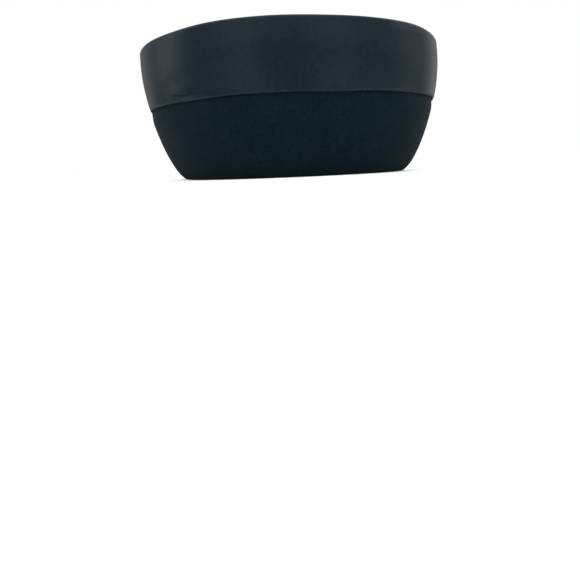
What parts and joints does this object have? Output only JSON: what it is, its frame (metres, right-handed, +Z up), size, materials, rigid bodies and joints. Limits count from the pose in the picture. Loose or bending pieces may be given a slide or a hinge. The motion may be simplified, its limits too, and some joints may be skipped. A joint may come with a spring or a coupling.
{
  "type": "breton hat",
  "caption": "Felt breton hat: a plain domed crown inside a tall brim turned up all the way round, its rim bound with a wide smooth ribbon.",
  "frame": {"origin": "centre of the head opening, in the plane that the hat rests on", "axes": "+Z up out of the crown, -Y to the front of the hat, +X to the wearer's left"},
  "size_m": [0.243, 0.286, 0.107],
  "materials": {
    "crown_felt": "matte near-black wool felt with a short nap",
    "brim_felt": "matte near-black wool felt with a short nap",
    "satin_ribbon": "smooth near-black ribbon with a soft satin sheen"
  },
  "bodies": {
    "root": {"crown": "crown_felt", "brim": "brim_felt", "rim_band": "satin_ribbon"}
  },
  "joints": []
}
